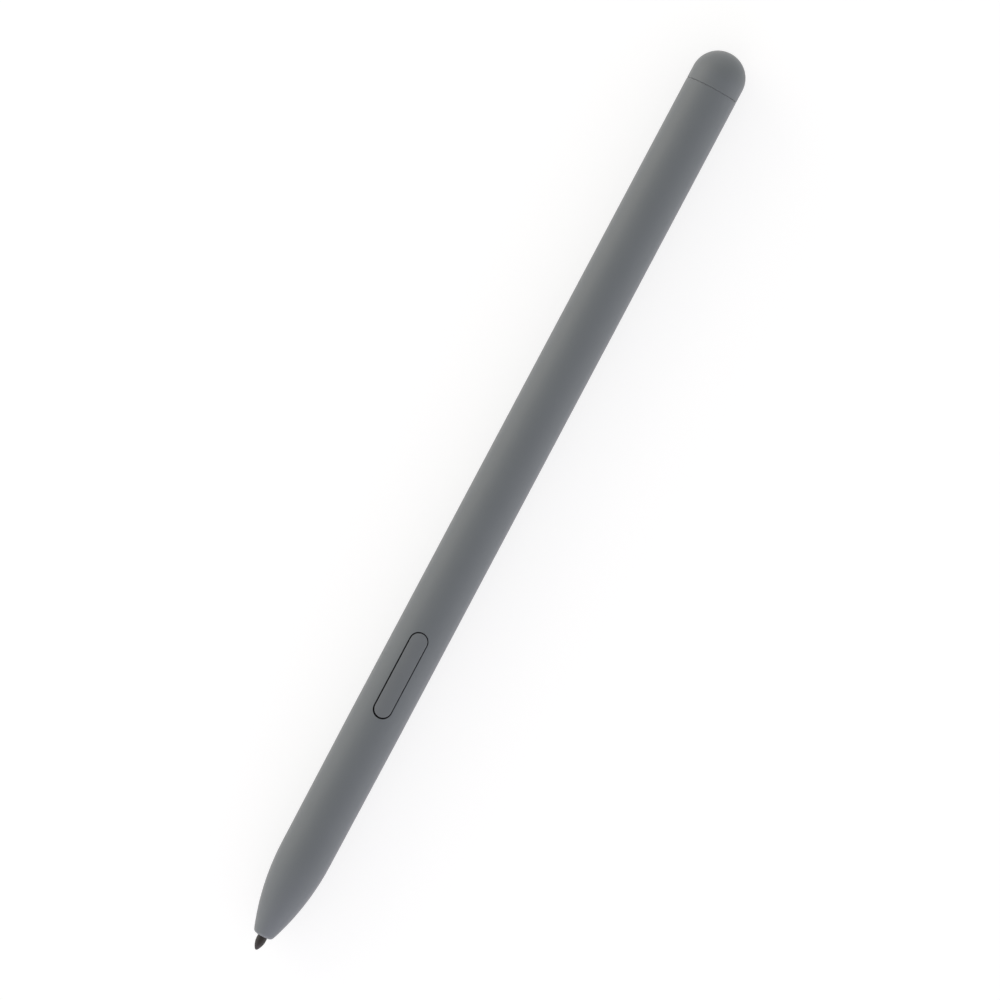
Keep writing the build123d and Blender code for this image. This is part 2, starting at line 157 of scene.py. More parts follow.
def boardColour(tree, finish, surface, resist):  # tracks show through the resist, the sawn edge is bare
    bands = addNode(
        tree, "ShaderNodeTexWave", {"bands_direction": "Y"},
        {
            "Vector": surface["Object"],
            "Scale": noise["waveRepeat"] / (finish["trackMm"] * mm),
            "Distortion": finish["trackWander"],
            "Detail": 0.0,
        },
    )
    low, high = finish["trackBand"]
    line = addNode(
        tree, "ShaderNodeMapRange", None,
        {"Value": bands.outputs["Fac"], "From Min": low, "From Max": high, "To Min": 0.0, "To Max": 1.0},
    )
    tracks = addNode(
        tree, "ShaderNodeMix", {"data_type": "RGBA"}, {0: line, 6: resist, 7: linear(finish["track"])}
    )
    upright = addNode(tree, "ShaderNodeSeparateXYZ", None, {0: surface["Normal"]}).outputs["Z"]
    facing = addNode(tree, "ShaderNodeMath", {"operation": "ABSOLUTE"}, {0: upright})
    broadSide = addNode(
        tree, "ShaderNodeMath", {"operation": "GREATER_THAN"}, {0: facing, 1: finish["edgeTilt"]}
    )
    sawn = addNode(
        tree, "ShaderNodeMix", {"data_type": "RGBA"},
        {0: broadSide, 6: linear(finish["edge"]), 7: tracks.outputs[2]},
    )
    return sawn.outputs[2]


def finishMaterial(finish):
    material = bpy.data.materials.new(finish["name"])
    material.use_nodes = True
    tree = material.node_tree
    shader = tree.nodes["Principled BSDF"]
    for socket, value in finish["shader"].items():
        shader.inputs[socket].default_value = value
    surface = addNode(tree, "ShaderNodeTexCoord").outputs
    stretched = addNode(
        tree, "ShaderNodeMapping", None,
        {"Vector": surface["Object"], "Scale": finish.get("stretch", (1, 1, 1))},
    )
    mottle = addNode(
        tree, "ShaderNodeTexNoise", None,
        {"Vector": stretched, "Scale": 1 / (finish["mottleMm"] * mm), "Detail": noise["mottleDetail"]},
    )
    dark, light = [linear(colour) for colour in finish["colours"]]
    mixed = addNode(tree, "ShaderNodeMix", {"data_type": "RGBA"}, {0: mottle, 6: dark, 7: light})
    colour = mixed.outputs[2]
    if "track" in finish:
        colour = boardColour(tree, finish, surface, colour)
    tree.links.new(colour, shader.inputs["Base Color"])
    grain = addNode(
        tree, "ShaderNodeTexNoise", None,
        {"Vector": stretched, "Scale": 1 / (finish["grainMm"] * mm), "Detail": noise["grainDetail"]},
    )
    finest, coarsest = noise["grainRange"]
    low, high = finish["roughness"]
    gloss = addNode(
        tree, "ShaderNodeMapRange", None,
        {"Value": grain, "From Min": finest, "From Max": coarsest, "To Min": low, "To Max": high},
    )
    tree.links.new(gloss.outputs[0], shader.inputs["Roughness"])
    bump = addNode(
        tree, "ShaderNodeBump", None,
        {"Height": grain, "Strength": finish["bump"], "Distance": finish["grainDepthMm"] * mm},
    )
    tree.links.new(bump.outputs[0], shader.inputs["Normal"])
    return material


finishes = {
    "softTouch": {  # moulded polycarbonate under a rubbery lacquer: dull, even, no hard glints
        "name": "softTouchLacquer",
        "colours": ("#656b6f", "#696f73"),
        "mottleMm": 5.0,
        "grainMm": 0.16,  # the lacquer's own grain is finer; drawn this coarse to show
        "grainDepthMm": 0.006,
        "bump": 0.25,
        "roughness": (0.52, 0.62),
        "shader": {"IOR": 1.5, "Sheen Weight": 0.36, "Sheen Roughness": 0.65},
    },
    "satinKey": {  # moulded polycarbonate with a fine spark-eroded skin, a little glossier than the lacquer
        "name": "satinPolycarbonate",
        "colours": ("#656a6e", "#696e72"),
        "mottleMm": 3.0,
        "grainMm": 0.14,  # spark-eroded pits are about half this; drawn this coarse to show
        "grainDepthMm": 0.006,
        "bump": 0.25,
        "roughness": (0.46, 0.56),
        "shader": {"IOR": 1.5, "Sheen Weight": 0.36, "Sheen Roughness": 0.65},
    },
    "gapShade": {  # painted shade: near-black, smooth plastic put on the faces inside gaps and hollows, standing in for the shade there
        "name": "paintedGapShade",
        "colours": ("#1c1d1f", "#232427"),
        "mottleMm": 2.0,
        "grainMm": 0.1,
        "grainDepthMm": 0.003,
        "bump": 0.2,
        "roughness": (0.4, 0.52),
        "shader": {"IOR": 1.58},
    },
    "nibAcetal": {  # dark moulded acetal, slightly waxy, rubbed at the point
        "name": "darkAcetal",
        "colours": ("#292423", "#312b29"),
        "mottleMm": 0.8,
        "grainMm": 0.1,
        "grainDepthMm": 0.004,
        "bump": 0.2,
        "roughness": (0.38, 0.5),
        "shader": {"IOR": 1.48},
    },
    "chassis": {  # glass-filled nylon: near black, with fibre streaks along the flow of the melt
        "name": "glassFilledNylon",
        "colours": ("#37373a", "#46464a"),
        "stretch": (0.2, 1.0, 1.0),
        "mottleMm": 1.2,
        "grainMm": 0.12,
        "grainDepthMm": 0.008,
        "bump": 0.35,
        "roughness": (0.45, 0.62),
        "shader": {"IOR": 1.53},
    },
    "natural": {  # uncoloured acetal: milky white with a waxy gloss
        "name": "naturalAcetal",
        "colours": ("#d7d4ca", "#dfdcd3"),
        "mottleMm": 1.5,
        "grainMm": 0.12,
        "grainDepthMm": 0.004,
        "bump": 0.2,
        "roughness": (0.3, 0.42),
        "shader": {"IOR": 1.48, "Subsurface Weight": 0.1, "Subsurface Scale": 0.0004},
    },
    "silicone": {  # moulded silicone rubber: soft grey, dusty and dull
        "name": "siliconeRubber",
        "colours": ("#5c5c5e", "#666668"),
        "mottleMm": 1.0,
        "grainMm": 0.1,
        "grainDepthMm": 0.008,
        "bump": 0.35,
        "roughness": (0.62, 0.78),
        "shader": {"IOR": 1.41, "Sheen Weight": 0.15, "Sheen Roughness": 0.5},
    },
    "carbonRubber": {  # silicone loaded with carbon black: deep, dull black with a faint sparkle
        "name": "carbonSilicone",
        "colours": ("#232325", "#2c2c2e"),
        "mottleMm": 0.4,
        "grainMm": 0.05,
        "grainDepthMm": 0.006,
        "bump": 0.4,
        "roughness": (0.55, 0.75),
        "shader": {"IOR": 1.43},
    },
    "ferrite": {  # sintered ferrite, centreless ground: dark slate with fine pits
        "name": "sinteredFerrite",
        "colours": ("#3f3d3d", "#4b4948"),
        "mottleMm": 0.5,
        "grainMm": 0.06,
        "grainDepthMm": 0.01,
        "bump": 0.4,
        "roughness": (0.42, 0.62),
        "shader": {"IOR": 2.0},
    },
    "copper": {  # drawn copper under clear enamel: warm metal with a glassy coat
        "name": "enamelledCopper",
        "colours": ("#a9633b", "#ba774c"),
        "mottleMm": 0.6,
        "grainMm": 0.05,
        "grainDepthMm": 0.002,
        "bump": 0.15,
        "roughness": (0.22, 0.34),
        "shader": {"Metallic": 1.0, "Coat Weight": 0.6, "Coat Roughness": 0.12},
    },
    "steel": {  # drawn and rolled stainless spring steel: bright, with fine lengthwise drawing lines
        "name": "springSteel",
        "colours": ("#b9b9ba", "#c8c8c9"),
        "stretch": (0.25, 1.0, 1.0),
        "mottleMm": 0.6,
        "grainMm": 0.04,
        "grainDepthMm": 0.002,
        "bump": 0.2,
        "roughness": (0.2, 0.34),
        "shader": {"Metallic": 1.0},
    },
    "gold": {  # stamped brass strip with a thin gold plate: warm, satin from the rolled strip below
        "name": "goldPlatedBrass",
        "colours": ("#d8bb70", "#e4c983"),
        "stretch": (0.3, 1.0, 1.0),
        "mottleMm": 0.8,
        "grainMm": 0.05,
        "grainDepthMm": 0.002,
        "bump": 0.2,
        "roughness": (0.2, 0.32),
        "shader": {"Metallic": 1.0},
    },
    "alumina": {  # fired alumina: ivory white, matte and slightly gritty
        "name": "firedAlumina",
        "colours": ("#dcd9d0", "#e5e2da"),
        "mottleMm": 0.6,
        "grainMm": 0.05,
        "grainDepthMm": 0.006,
        "bump": 0.3,
        "roughness": (0.5, 0.65),
        "shader": {"IOR": 1.77},
    },
    "board": {  # glass-epoxy laminate under green solder resist, with the tracks raised below it
        "name": "solderResistLaminate",
        "colours": ("#21663e", "#27704a"),
        "track": "#3a8a5c",
        "trackMm": 0.45,  # from one track to the next
        "trackBand": (0.62, 0.7),  # levels of the wave where a track begins and is full
        "trackWander": 1.5,
        "edge": "#a5a476",
        "edgeTilt": 0.5,  # faces that look up or down less than this are the sawn edge
        "mottleMm": 2.0,
        "grainMm": 0.12,
        "grainDepthMm": 0.004,
        "bump": 0.25,
        "roughness": (0.28, 0.42),
        "shader": {"IOR": 1.52},
    },
    "switchBlack": {  # moulded liquid-crystal polymer: black, dull, with short flow marks
        "name": "mouldedBlackPolymer",
        "colours": ("#2b2b2c", "#363638"),
        "stretch": (0.4, 1.0, 1.0),
        "mottleMm": 0.5,
        "grainMm": 0.06,
        "grainDepthMm": 0.005,
        "bump": 0.3,
        "roughness": (0.45, 0.6),
        "shader": {"IOR": 1.6},
    },
    "chipBody": {  # fired barium titanate: sandy brown, even and faintly glossy
        "name": "firedChipCeramic",
        "colours": ("#a68663", "#b59574"),
        "mottleMm": 0.3,
        "grainMm": 0.04,
        "grainDepthMm": 0.003,
        "bump": 0.25,
        "roughness": (0.38, 0.5),
        "shader": {"IOR": 1.9},
    },
    "tin": {  # dipped and reflowed tin: soft bright grey
        "name": "reflowedTin",
        "colours": ("#c0c1c3", "#cfd0d1"),
        "mottleMm": 0.3,
        "grainMm": 0.05,
        "grainDepthMm": 0.004,
        "bump": 0.3,
        "roughness": (0.25, 0.42),
        "shader": {"Metallic": 1.0},
    },
    "nickel": {  # barrel-plated nickel on a pressed magnet: bright, warm grey, tumbled satin
        "name": "nickelPlate",
        "colours": ("#c7c3bb", "#d3cfc8"),
        "mottleMm": 1.5,
        "grainMm": 0.1,
        "grainDepthMm": 0.004,
        "bump": 0.3,
        "roughness": (0.16, 0.3),
        "shader": {"Metallic": 1.0},
    },
}
materials = {key: finishMaterial(finish) for key, finish in finishes.items()}
print("materials:", len(materials))

# Inner pieces whose solids are shown as they are, by finish
keptNodes = {
    "chassis": ("board_carrier", "magnet_carrier"),
    "natural": ("nib_holder", "sensor_plug"),
    "ferrite": ("ferrite_core",),
    "copper": ("coil_lead_left", "coil_lead_right"),
    "steel": ("switch_cover",),
    "gold": ("ring_terminal", "disc_terminal"),
    "alumina": ("dielectric_disc",),
    "board": ("circuit_board",),
    "switchBlack": ("switch_base", "switch_plunger"),
    "nickel": ("magnet_front", "magnet_rear"),
}
for finish, names in keptNodes.items():
    for name in names:
        nodes[name].data.materials.clear()
        nodes[name].data.materials.append(materials[finish])
print("kept solids:", sum(len(names) for names in keptNodes.values()))

# Geometry Nodes trees, each baked to a plain mesh
weld = {"grid": 1e-6, "mesh": 2e-6, "sliver": 1e-7}  # metres, below which points are one


def startTree(name, sockets):
    tree = bpy.data.node_groups.new(name, "GeometryNodeTree")
    tree.interface.new_socket("Geometry", in_out="INPUT", socket_type="NodeSocketGeometry")
    for label, kind in sockets.items():
        tree.interface.new_socket(label, in_out="INPUT", socket_type="NodeSocket" + kind)
    tree.interface.new_socket("Geometry", in_out="OUTPUT", socket_type="NodeSocketGeometry")
    return tree, addNode(tree, "NodeGroupInput").outputs


def endTree(tree, geometry, given):
    real = addNode(tree, "GeometryNodeRealizeInstances", None, {"Geometry": geometry})
    dressed = addNode(
        tree, "GeometryNodeSetMaterial", None, {"Geometry": real, "Material": given["Material"]}
    )
    addNode(tree, "NodeGroupOutput", None, {"Geometry": dressed})
    return tree


def makeTurnedTree():  # turns an outline round the pen's axis and presses a flat on its underside
    tree, given = startTree(
        "turnedForm",
        {"Segments": "Int", "Flat Blend": "Float", "Axis Height": "Float", "Material": "Material"},
    )
    outline = given["Geometry"]
    rows = addNode(tree, "GeometryNodeAttributeDomainSize", {"component": "MESH"}, {"Geometry": outline})
    columns = addNode(tree, "ShaderNodeMath", {"operation": "ADD"}, {0: given["Segments"], 1: 1.0})
    grid = addNode(
        tree, "GeometryNodeMeshGrid", None,
        {"Vertices X": rows.outputs["Point Count"], "Vertices Y": columns},
    )
    index = addNode(tree, "GeometryNodeInputIndex")
    share = addNode(tree, "ShaderNodeMath", {"operation": "DIVIDE"}, {0: index, 1: columns})
    row = addNode(tree, "ShaderNodeMath", {"operation": "FLOOR"}, {0: share})
    column = addNode(tree, "ShaderNodeMath", {"operation": "MODULO"}, {0: index, 1: columns})
    point = addNode(
        tree, "GeometryNodeSampleIndex", {"data_type": "FLOAT_VECTOR", "domain": "POINT"},
        {"Geometry": outline, "Value": addNode(tree, "GeometryNodeInputPosition"), "Index": row},
    )
    flatLevel = addNode(
        tree, "GeometryNodeInputNamedAttribute", {"data_type": "FLOAT"}, {"Name": "flatLevel"}
    )
    level = addNode(
        tree, "GeometryNodeSampleIndex", {"data_type": "FLOAT", "domain": "POINT"},
        {"Geometry": outline, "Value": flatLevel, "Index": row},
    )
    parts = addNode(tree, "ShaderNodeSeparateXYZ", None, {0: point}).outputs
    step = addNode(tree, "ShaderNodeMath", {"operation": "DIVIDE"}, {0: 2 * math.pi, 1: given["Segments"]})
    angle = addNode(tree, "ShaderNodeMath", {"operation": "MULTIPLY"}, {0: column, 1: step})
    sine = addNode(tree, "ShaderNodeMath", {"operation": "SINE"}, {0: angle})
    cosine = addNode(tree, "ShaderNodeMath", {"operation": "COSINE"}, {0: angle})
    side = addNode(tree, "ShaderNodeMath", {"operation": "MULTIPLY"}, {0: parts["Y"], 1: sine})
    height = addNode(tree, "ShaderNodeMath", {"operation": "MULTIPLY"}, {0: parts["Y"], 1: cosine})
    under = addNode(tree, "ShaderNodeMath", {"operation": "MULTIPLY"}, {0: level, 1: -1.0})
    pressed = addNode(
        tree, "ShaderNodeMath", {"operation": "SMOOTH_MAX"}, {0: height, 1: under, 2: given["Flat Blend"]}
    )
    raised = addNode(tree, "ShaderNodeMath", {"operation": "ADD"}, {0: pressed, 1: given["Axis Height"]})
    spot = addNode(tree, "ShaderNodeCombineXYZ", None, {"X": parts["X"], "Y": side, "Z": raised})
    shaped = addNode(tree, "GeometryNodeSetPosition", None, {"Geometry": grid, "Position": spot})
    closed = addNode(
        tree, "GeometryNodeMergeByDistance", None, {"Geometry": shaped, "Distance": weld["grid"]}
    )
    return endTree(tree, closed, given)


def makeWoundTree():  # winds a wire round the pen's axis, with closer turns at both ends where asked
    tree, given = startTree(
        "woundWire",
        {
            "Turns": "Float", "Steps per Turn": "Int", "Start": "Float", "Length": "Float",
            "Coil Radius": "Float", "Wire Radius": "Float", "End Closing": "Float", "Sides": "Int",
            "Axis Height": "Float", "Material": "Material",
        },
    )
    steps = addNode(
        tree, "ShaderNodeMath", {"operation": "MULTIPLY"}, {0: given["Turns"], 1: given["Steps per Turn"]}
    )
    count = addNode(tree, "ShaderNodeMath", {"operation": "ADD"}, {0: steps, 1: 1.0})
    line = addNode(tree, "GeometryNodeMeshLine", None, {"Count": count})
    index = addNode(tree, "GeometryNodeInputIndex")
    share = addNode(tree, "ShaderNodeMath", {"operation": "DIVIDE"}, {0: index, 1: steps})
    eased = addNode(tree, "ShaderNodeMapRange", {"interpolation_type": "SMOOTHSTEP"}, {"Value": share})
    way = addNode(
        tree, "ShaderNodeMix", {"data_type": "FLOAT"},
        {0: given["End Closing"], 2: share, 3: eased.outputs[0]},
    )
    run = addNode(
        tree, "ShaderNodeMath", {"operation": "MULTIPLY_ADD"},
        {0: way, 1: given["Length"], 2: given["Start"]},
    )
    fullTurns = addNode(tree, "ShaderNodeMath", {"operation": "MULTIPLY"}, {0: share, 1: given["Turns"]})
    angle = addNode(tree, "ShaderNodeMath", {"operation": "MULTIPLY"}, {0: fullTurns, 1: 2 * math.pi})
    sine = addNode(tree, "ShaderNodeMath", {"operation": "SINE"}, {0: angle})
    cosine = addNode(tree, "ShaderNodeMath", {"operation": "COSINE"}, {0: angle})
    side = addNode(tree, "ShaderNodeMath", {"operation": "MULTIPLY"}, {0: sine, 1: given["Coil Radius"]})
    height = addNode(
        tree, "ShaderNodeMath", {"operation": "MULTIPLY_ADD"},
        {0: cosine, 1: given["Coil Radius"], 2: given["Axis Height"]},
    )
    spot = addNode(tree, "ShaderNodeCombineXYZ", None, {"X": run, "Y": side, "Z": height})
    wound = addNode(tree, "GeometryNodeSetPosition", None, {"Geometry": line, "Position": spot})
    path = addNode(tree, "GeometryNodeMeshToCurve", None, {"Mesh": wound})
    section = addNode(
        tree, "GeometryNodeCurvePrimitiveCircle", None,
        {"Resolution": given["Sides"], "Radius": given["Wire Radius"]},
    )
    wire = addNode(
        tree, "GeometryNodeCurveToMesh", None, {"Curve": path, "Profile Curve": section, "Fill Caps": True}
    )
    return endTree(tree, wire, given)


def makeChipTree():  # sets a ceramic block with two tinned ends on each point, at that point's size
    tree, given = startTree(
        "chipRow",
        {"End Share": "Float", "Body Share": "Float", "Material": "Material", "End Material": "Material"},
    )
    endSize = addNode(tree, "ShaderNodeCombineXYZ", None, {"X": given["End Share"], "Y": 1.0, "Z": 1.0})
    ending = addNode(tree, "GeometryNodeMeshCube", None, {"Size": endSize})
    marked = addNode(
        tree, "GeometryNodeStoreNamedAttribute", {"data_type": "BOOLEAN", "domain": "FACE"},
        {"Geometry": ending, "Name": "tinned", "Value": True},
    )
    doubled = addNode(tree, "ShaderNodeMath", {"operation": "MULTIPLY"}, {0: given["End Share"], 1: 2.0})
    bodyLength = addNode(tree, "ShaderNodeMath", {"operation": "SUBTRACT"}, {0: 1.0, 1: doubled})
    bodySize = addNode(
        tree, "ShaderNodeCombineXYZ", None,
        {"X": bodyLength, "Y": given["Body Share"], "Z": given["Body Share"]},
    )
    block = addNode(tree, "GeometryNodeMeshCube", None, {"Size": bodySize})
    joined = addNode(tree, "GeometryNodeJoinGeometry")
    tree.links.new(block.outputs[0], joined.inputs[0])
    room = addNode(tree, "ShaderNodeMath", {"operation": "SUBTRACT"}, {0: 1.0, 1: given["End Share"]})
    for end in (-0.5, 0.5):
        shift = addNode(tree, "ShaderNodeMath", {"operation": "MULTIPLY"}, {0: room, 1: end})
        offset = addNode(tree, "ShaderNodeCombineXYZ", None, {"X": shift})
        placed = addNode(tree, "GeometryNodeTransform", None, {"Geometry": marked, "Translation": offset})
        tree.links.new(placed.outputs[0], joined.inputs[0])
    size = addNode(
        tree, "GeometryNodeInputNamedAttribute", {"data_type": "FLOAT_VECTOR"}, {"Name": "chipSize"}
    )
    row = addNode(
        tree, "GeometryNodeInstanceOnPoints", None,
        {"Points": given["Geometry"], "Instance": joined, "Scale": size},
    )
    real = addNode(tree, "GeometryNodeRealizeInstances", None, {"Geometry": row})
    bodies = addNode(
        tree, "GeometryNodeSetMaterial", None, {"Geometry": real, "Material": given["Material"]}
    )
    tinned = addNode(
        tree, "GeometryNodeInputNamedAttribute", {"data_type": "BOOLEAN"}, {"Name": "tinned"}
    )
    dressed = addNode(
        tree, "GeometryNodeSetMaterial", None,
        {"Geometry": bodies, "Selection": tinned, "Material": given["End Material"]},
    )
    addNode(tree, "NodeGroupOutput", None, {"Geometry": dressed})
    return tree


def bakeTree(name, tree, base, values):
    piece = bpy.data.objects.new(name, base)
    scene.collection.objects.link(piece)
    modifier = piece.modifiers.new("shape", "NODES")
    modifier.node_group = tree
    for item in tree.interface.items_tree:
        if item.in_out == "INPUT" and item.name in values:
            modifier[item.identifier] = values[item.name]
    evaluated = piece.evaluated_get(bpy.context.evaluated_depsgraph_get())
    baked = bpy.data.meshes.new_from_object(evaluated)
    piece.modifiers.remove(modifier)
    piece.data = baked
    bpy.data.meshes.remove(base)
    baked.name = name
    return piece


def smoothMesh(mesh, work=None, crease=40.0):
    bm = work or bmesh.new()
    if work is None:
        bm.from_mesh(mesh)
    bmesh.ops.remove_doubles(bm, verts=bm.verts, dist=weld["mesh"])
    bmesh.ops.dissolve_degenerate(bm, edges=bm.edges, dist=weld["sliver"])
    bmesh.ops.recalc_face_normals(bm, faces=bm.faces)
    openEdges = sum(1 for edge in bm.edges if len(edge.link_faces) != 2)
    bm.to_mesh(mesh)
    bm.free()
    while mesh.materials and mesh.materials[0] is None:  # a baked tree leaves an empty slot in front
        mesh.materials.pop(index=0)
    mesh.shade_smooth()
    mesh.set_sharp_from_angle(angle=math.radians(crease))
    print(" ", mesh.name, len(mesh.polygons), "faces, open edges:", openEdges)


def seatPiece(piece, body, slot, *replaced):
    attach(piece, body)
    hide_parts(*replaced)


def shadeGapsInside(piece, isShaded):  # painted shade: faces deep in gaps and hollows get a near-black second material
    piece.data.materials.append(materials["gapShade"])
    for face in piece.data.polygons:
        side = face.center.y
        height = face.center.z - above(0)
        reach = math.hypot(side, height)
        depth = pen["radius"] - reach / mm
        outward = (face.normal.y * side + face.normal.z * height) / reach
        if isShaded(face, depth, outward):
            face.material_index = 1


def turnedPiece(name, outline, finish, segments, blend=0.0):
    base = bpy.data.meshes.new(name)
    points = [(along(station), radius * mm, 0) for station, radius, flat in outline]
    base.from_pydata(points, [(i, i + 1) for i in range(len(points) - 1)], [])
    levels = base.attributes.new("flatLevel", "FLOAT", "POINT")
    levels.data.foreach_set("value", [flat * mm for station, radius, flat in outline])
    values = {
        "Segments": segments,
        "Flat Blend": blend * mm,
        "Axis Height": above(0),
        "Material": materials[finish],
    }
    return bakeTree(name, turnedTree, base, values)


def woundPiece(name, wire, start, end, radius, finish):
    values = {
        "Turns": wire["turns"],
        "Steps per Turn": wire["steps"],
        "Start": along(start),
        "Length": (end - start) * mm,
        "Coil Radius": radius * mm,
        "Wire Radius": wire["diameter"] / 2 * mm,
        "End Closing": wire["closing"],
        "Sides": wire["sides"],
        "Axis Height": above(0),
        "Material": materials[finish],
    }
    return bakeTree(name, woundTree, bpy.data.meshes.new(name), values)


def meshPiece(name, work, finish):
    mesh = bpy.data.meshes.new(name)
    mesh.materials.append(materials[finish])
    piece = bpy.data.objects.new(name, mesh)
    scene.collection.objects.link(piece)
    smoothMesh(mesh, work)
    return piece


def evenSteps(start, end, count):
    return [start + (end - start) * i / count for i in range(count + 1)]


def arcPoints(centre, radius, start, end, count):
    turns = evenSteps(start, end, count)
    return [(centre[0] + radius * math.cos(turn), centre[1] + radius * math.sin(turn)) for turn in turns]


def skinHeight(radius, side):
    return math.sqrt(radius**2 - side**2)


def pillPoint(ray, stretch, reach):  # a ray starts on the pill's middle line and leaves it squarely
    middle, outX, outY = ray
    return (middle * stretch + reach * outX, reach * outY)


def joinRings(bm, rings):
    loops = [[bm.verts.new(point) for point in ring] for ring in rings]
    for first, second in zip(loops, loops[1:]):
        for i in range(len(first)):
            j = (i + 1) % len(first)
            bm.faces.new((first[i], first[j], second[j], second[i]))


turnedTree = makeTurnedTree()
woundTree = makeWoundTree()
chipTree = makeChipTree()

# Barrel: nose, taper and straight tube in one outline, inside and out
barrel = {
    "noseEndRadius": 1.405,
    "noseRound": 0.7,
    "shoulder": 15.3,
    "shoulderRadius": 3.85,
    "taperEnd": 36.0,
    "seamGap": 0.008,  # hairline left on each side of the seam
    "seamRound": 0.14,
    "bore": 3.05,
    "boreFlat": 2.65,
    "nibHole": 0.815,
    "holeBreak": 0.05,
    "holeShadeStart": 0.0125,  # how far into the nib's hole the painted shade stays back
    "shadeTurn": 0.2,  # walls that look outward less than this get the painted shade
    "cavity": span("nose_damper")["front"],  # where the hollow behind the nose begins
    "damperFit": 0.15,  # left round the nose damper
    "snapSetback": 2.6,  # seam to the snap groove
    "grooveMouth": 0.3,
    "grooveFloor": 0.18,
    "grooveRadius": 3.17,
    "slotEndLip": 0.7,  # how far the button's flange reaches past the slot
    "slotSideLip": 0.4,
    "slotRound": 0.025,
    "window": 7.8,  # half-length of the patch that is rebuilt round the slot
    "windowSteps": 39,
    "windowColumns": 16,
    "skinShares": (0, 0.3, 0.55, 0.75, 0.9, 1.0),  # rings from the window's edge to the slot
    "boreShares": (1.0, 0.6, 0.3, 0),  # and from the slot back along the bore
    "slotRoundSteps": 4,
    "noseRoundSteps": 10,
    "noseSteps": 56,
    "taperSteps": 14,
    "tubeSteps": 36,
    "seamRoundSteps": 6,
    "boreSteps": 20,
    "frontBoreSteps": 6,
    "cavitySteps": 24,
}
barrel["cavityRadius"] = span("nose_damper")["half"] + barrel["damperFit"]
shellSpan = span("barrel")
keySpan = span("side_button")
slotStation = (keySpan["front"] + keySpan["rear"]) / 2
slotLength = keySpan["rear"] - keySpan["front"] - 2 * barrel["slotEndLip"]
slotWidth = 2 * (keySpan["half"] - barrel["slotSideLip"])


def noseOutline():
    noseEnd = shellSpan["front"]
    slope = math.atan2(pen["radius"] - barrel["shoulderRadius"], barrel["taperEnd"] - barrel["shoulder"])
    inward = (math.sin(slope), -math.cos(slope))
    reach = (noseEnd - barrel["shoulder"], barrel["noseEndRadius"] - barrel["shoulderRadius"])
    drop = reach[0] * inward[0] + reach[1] * inward[1]
    radius = (reach[0] ** 2 + reach[1] ** 2) / (2 * drop)  # of the arc that leaves the taper smoothly
    centre = (barrel["shoulder"] + radius * inward[0], barrel["shoulderRadius"] + radius * inward[1])
    roundStation = noseEnd + barrel["noseRound"]
    rise = math.sqrt((radius - barrel["noseRound"]) ** 2 - (roundStation - centre[0]) ** 2)
    roundCentre = (roundStation, centre[1] + rise)
    lean = math.atan2(rise, roundStation - centre[0])
    front = arcPoints(roundCentre, barrel["noseRound"], math.pi, lean, barrel["noseRoundSteps"])
    return front + arcPoints(centre, radius, lean, math.pi / 2 + slope, barrel["noseSteps"])[1:]


def barrelOutline():
    noseEnd = shellSpan["front"]
    seam = shellSpan["rear"] - barrel["seamGap"]
    groove = shellSpan["rear"] - barrel["snapSetback"]
    windowStart = slotStation - barrel["window"]
    windowEnd = slotStation + barrel["window"]
    window = evenSteps(windowStart, windowEnd, barrel["windowSteps"])
    seamRound = barrel["seamRound"]
    corner = (seam - seamRound, pen["radius"] - seamRound)
    widening = pen["radius"] - barrel["shoulderRadius"]
    outer = [(noseEnd, barrel["nibHole"] + barrel["holeBreak"])]
    outer += noseOutline()
    for station in evenSteps(barrel["shoulder"], barrel["taperEnd"], barrel["taperSteps"])[1:]:
        share = (station - barrel["shoulder"]) / (barrel["taperEnd"] - barrel["shoulder"])
        outer.append((station, barrel["shoulderRadius"] + share * widening))
    outer += [(station, pen["radius"]) for station in window]
    tube = evenSteps(windowEnd, seam - 2 * seamRound, barrel["tubeSteps"])
    outer += [(station, pen["radius"]) for station in tube[1:]]
    outer += arcPoints(corner, seamRound, math.pi / 2, 0, barrel["seamRoundSteps"])
    bore = barrel["bore"]
    inner = [(seam, bore)]
    inner.append((groove + barrel["grooveMouth"], bore))
    inner.append((groove + barrel["grooveFloor"], barrel["grooveRadius"]))
    inner.append((groove - barrel["grooveFloor"], barrel["grooveRadius"]))
    inner.append((groove - barrel["grooveMouth"], bore))
    inner += [(s, bore) for s in evenSteps(inner[-1][0], windowEnd, barrel["boreSteps"])[1:-1]]
    inner += [(s, bore) for s in reversed(window)]
    inner += [(s, bore) for s in evenSteps(windowStart, barrel["shoulder"], barrel["frontBoreSteps"])[1:]]
    run = barrel["shoulder"] - barrel["cavity"]
    fall = bore - barrel["cavityRadius"]
    arc = (run**2 + fall**2) / (2 * fall)
    centre = (barrel["shoulder"], bore - arc)
    cavityEnd = math.pi / 2 + math.asin(run / arc)
    inner += arcPoints(centre, arc, math.pi / 2, cavityEnd, barrel["cavitySteps"])[1:]
    inner.append((barrel["cavity"], barrel["nibHole"]))
    inner.append((noseEnd + barrel["holeBreak"], barrel["nibHole"]))
    inner.append(outer[0])
    return [(s, r, pen["flat"]) for s, r in outer] + [(s, r, barrel["boreFlat"]) for s, r in inner]


